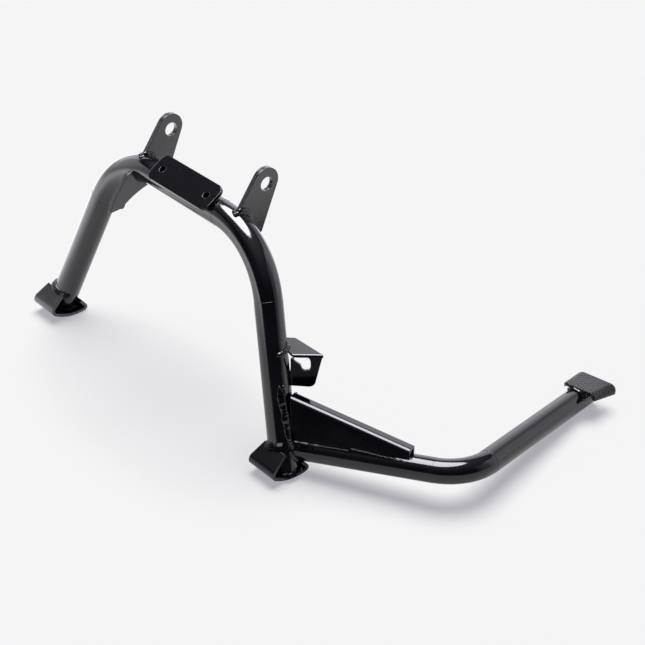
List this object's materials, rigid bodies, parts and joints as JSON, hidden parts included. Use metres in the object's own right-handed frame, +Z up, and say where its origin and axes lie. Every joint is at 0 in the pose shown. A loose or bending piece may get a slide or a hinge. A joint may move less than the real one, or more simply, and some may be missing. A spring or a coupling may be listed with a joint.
{
  "type": "motorcycle centre stand",
  "caption": "Welded tubular motorcycle centre stand with pivot lugs, rocker feet, stop plate and a foot lever with tread pad.",
  "frame": {"origin": "middle of the pivot axis, between the two lug holes", "axes": "+X along the pivot axis toward the foot lever side, +Y rearward, +Z up, standing on the two feet and the lever end"},
  "size_m": [0.5145, 0.3163, 0.2356],
  "materials": {
    "black_paint": "gloss",
    "weld_paint": "gloss"
  },
  "bodies": {
    "root": {"main_tube": "black_paint", "left_lug": "black_paint", "right_lug": "black_paint", "stop_plate": "black_paint", "left_foot": "black_paint", "right_foot": "black_paint", "lever_tube": "black_paint", "gusset": "black_paint", "spring_hook": "black_paint", "lever_pad": "black_paint", "left_lug_weld": "weld_paint", "right_lug_weld": "weld_paint", "stop_plate_weld": "weld_paint", "left_foot_weld": "weld_paint", "right_foot_weld": "weld_paint", "lever_weld": "weld_paint", "gusset_leg_weld": "weld_paint", "gusset_lever_weld": "weld_paint", "spring_hook_weld": "weld_paint", "lever_pad_weld": "weld_paint"}
  },
  "joints": []
}
